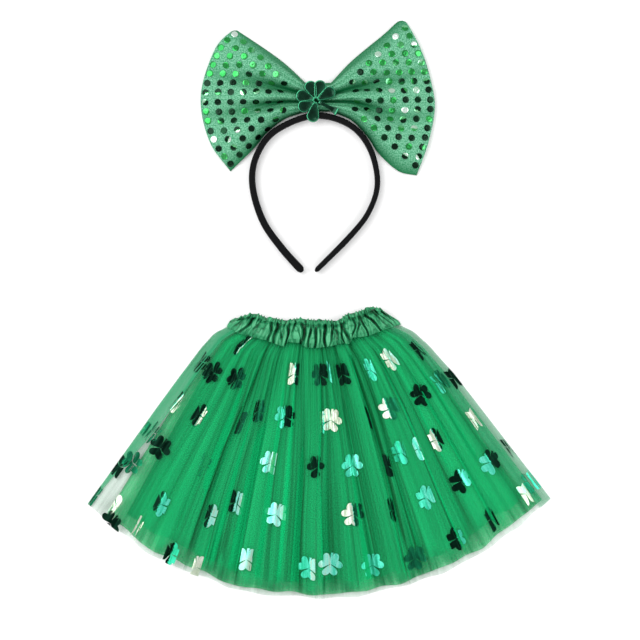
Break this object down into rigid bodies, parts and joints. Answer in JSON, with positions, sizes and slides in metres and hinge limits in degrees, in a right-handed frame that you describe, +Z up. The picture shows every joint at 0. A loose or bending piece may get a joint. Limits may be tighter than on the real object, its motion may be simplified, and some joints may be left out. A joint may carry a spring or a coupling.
{
  "type": "shamrock tutu costume",
  "caption": "Gathered tulle tutu skirt in green with an elasticated satin waistband, laid flat below its headband with a large sequinned bow and a shamrock.",
  "frame": {"origin": "centre of the laid-out costume's box, on the surface it lies on", "axes": "+X to the right as seen from above with the bow away from the viewer, +Y from the skirt's hem to the bow, +Z up from the surface"},
  "size_m": [0.4629, 0.5774, 0.019],
  "materials": {
    "satin": "glossy satin, gathered",
    "printed_tulle": "sheer net with foil shamrocks",
    "green_tulle": "sheer net",
    "black_satin": "matt wrapped ribbon",
    "sequin_cloth": "knit with rows of sequins",
    "green_foil": "metallic gloss"
  },
  "bodies": {
    "root": {"waistband": "satin", "outer_tulle": "printed_tulle", "middle_tulle": "green_tulle", "inner_tulle": "green_tulle", "headband": "black_satin", "bow": "sequin_cloth", "shamrock": "green_foil"}
  },
  "joints": []
}
